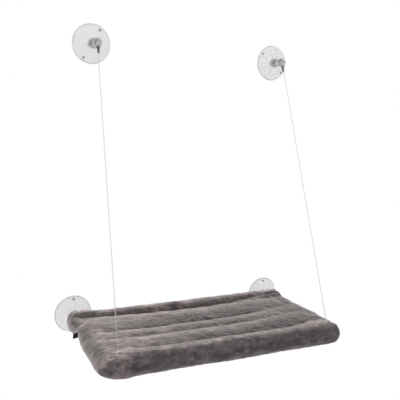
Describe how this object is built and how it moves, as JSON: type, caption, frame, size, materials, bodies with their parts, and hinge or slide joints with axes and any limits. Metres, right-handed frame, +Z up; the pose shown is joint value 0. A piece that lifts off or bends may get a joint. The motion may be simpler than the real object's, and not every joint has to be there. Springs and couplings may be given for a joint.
{
  "type": "window mounted cat perch",
  "caption": "Padded plush cat shelf held on a window by suction cups, with taut cables to its front corners and a rear edge that tips up.",
  "frame": {"origin": "on the glass, midway between the centres of the two lower suction cups", "axes": "+X to the right along the shelf, +Y into the glass, +Z up"},
  "size_m": [0.599, 0.305, 0.7022],
  "materials": {
    "clear_vinyl": "gloss",
    "coated_cable": "satin",
    "crimp_metal": "satin",
    "white_plastic": "satin",
    "frame_plastic": "matte",
    "frame_steel": "satin",
    "grey_plush": "matte",
    "underside_cloth": "matte",
    "zip_plastic": "matte",
    "zip_metal": "satin",
    "tag_cloth": "matte",
    "fibre_fill": "matte",
    "bright_metal": "polished",
    "zinc_steel": "satin"
  },
  "bodies": {
    "window_side": {"upper_left_cup": "clear_vinyl", "upper_left_stud": "zinc_steel", "upper_left_washer": "zinc_steel", "upper_left_lock_nut": "zinc_steel", "upper_right_cup": "clear_vinyl", "upper_right_stud": "zinc_steel", "upper_right_washer": "zinc_steel", "upper_right_lock_nut": "zinc_steel", "lower_left_cup": "clear_vinyl", "lower_left_stud": "zinc_steel", "lower_left_washer": "zinc_steel", "lower_left_lock_nut": "zinc_steel", "lower_right_cup": "clear_vinyl", "lower_right_stud": "zinc_steel", "lower_right_washer": "zinc_steel", "lower_right_lock_nut": "zinc_steel", "upper_left_back_nut": "zinc_steel", "upper_left_loop_washer": "zinc_steel", "lower_left_eye": "zinc_steel", "left_cable": "coated_cable", "left_cable_crimp": "crimp_metal", "upper_right_back_nut": "zinc_steel", "upper_right_loop_washer": "zinc_steel", "lower_right_eye": "zinc_steel", "right_cable": "coated_cable", "right_cable_crimp": "crimp_metal"},
    "platform": {"rear_tube": "frame_steel", "front_tube": "frame_steel", "left_side_tube": "frame_steel", "right_side_tube": "frame_steel", "tube_caps": "frame_plastic", "frame_screws": "zinc_steel", "rear_left_tee": "frame_plastic", "rear_right_tee": "frame_plastic", "front_left_tee": "frame_plastic", "front_right_tee": "frame_plastic", "rear_roll": "fibre_fill", "mat_pad": "fibre_fill", "front_roll": "fibre_fill", "plush_cover": "grey_plush", "underside_panel": "underside_cloth", "zip_tape": "zip_plastic", "side_tag": "tag_cloth", "left_grommet": "white_plastic", "left_cable_stop": "crimp_metal", "right_grommet": "white_plastic", "right_cable_stop": "crimp_metal"},
    "left_thumb_nut_body": {"upper_left_thumb_nut": "bright_metal"},
    "right_thumb_nut_body": {"upper_right_thumb_nut": "bright_metal"},
    "zip_slider_body": {"zip_slider": "zip_metal"},
    "zip_pull_body": {"zip_pull": "zip_metal"}
  },
  "joints": [
    {"name": "platform_tilt", "type": "hinge", "parent": "window_side", "child": "platform", "pos_m": [0, -0.05, 0], "axis": [-1, 0, 0], "range_deg": [0, 60], "deforming": ["left_cable", "right_cable"]},
    {"name": "upper_left_thumb_nut_spin", "type": "hinge", "parent": "window_side", "child": "left_thumb_nut_body", "pos_m": [-0.2335, -0.05, 0.6], "axis": [0, -1, 0], "continuous": true},
    {"name": "upper_right_thumb_nut_spin", "type": "hinge", "parent": "window_side", "child": "right_thumb_nut_body", "pos_m": [0.2335, -0.05, 0.6], "axis": [0, -1, 0], "continuous": true},
    {"name": "zip_slide", "type": "slide", "parent": "platform", "child": "zip_slider_body", "axis": [-1, 0, 0], "range_m": [0, 0.44]},
    {"name": "zip_pull_swing", "type": "hinge", "parent": "zip_slider_body", "child": "zip_pull_body", "pos_m": [0.22, -0.09, -0.0377], "axis": [0, 1, 0], "range_deg": [-80, 80]}
  ]
}
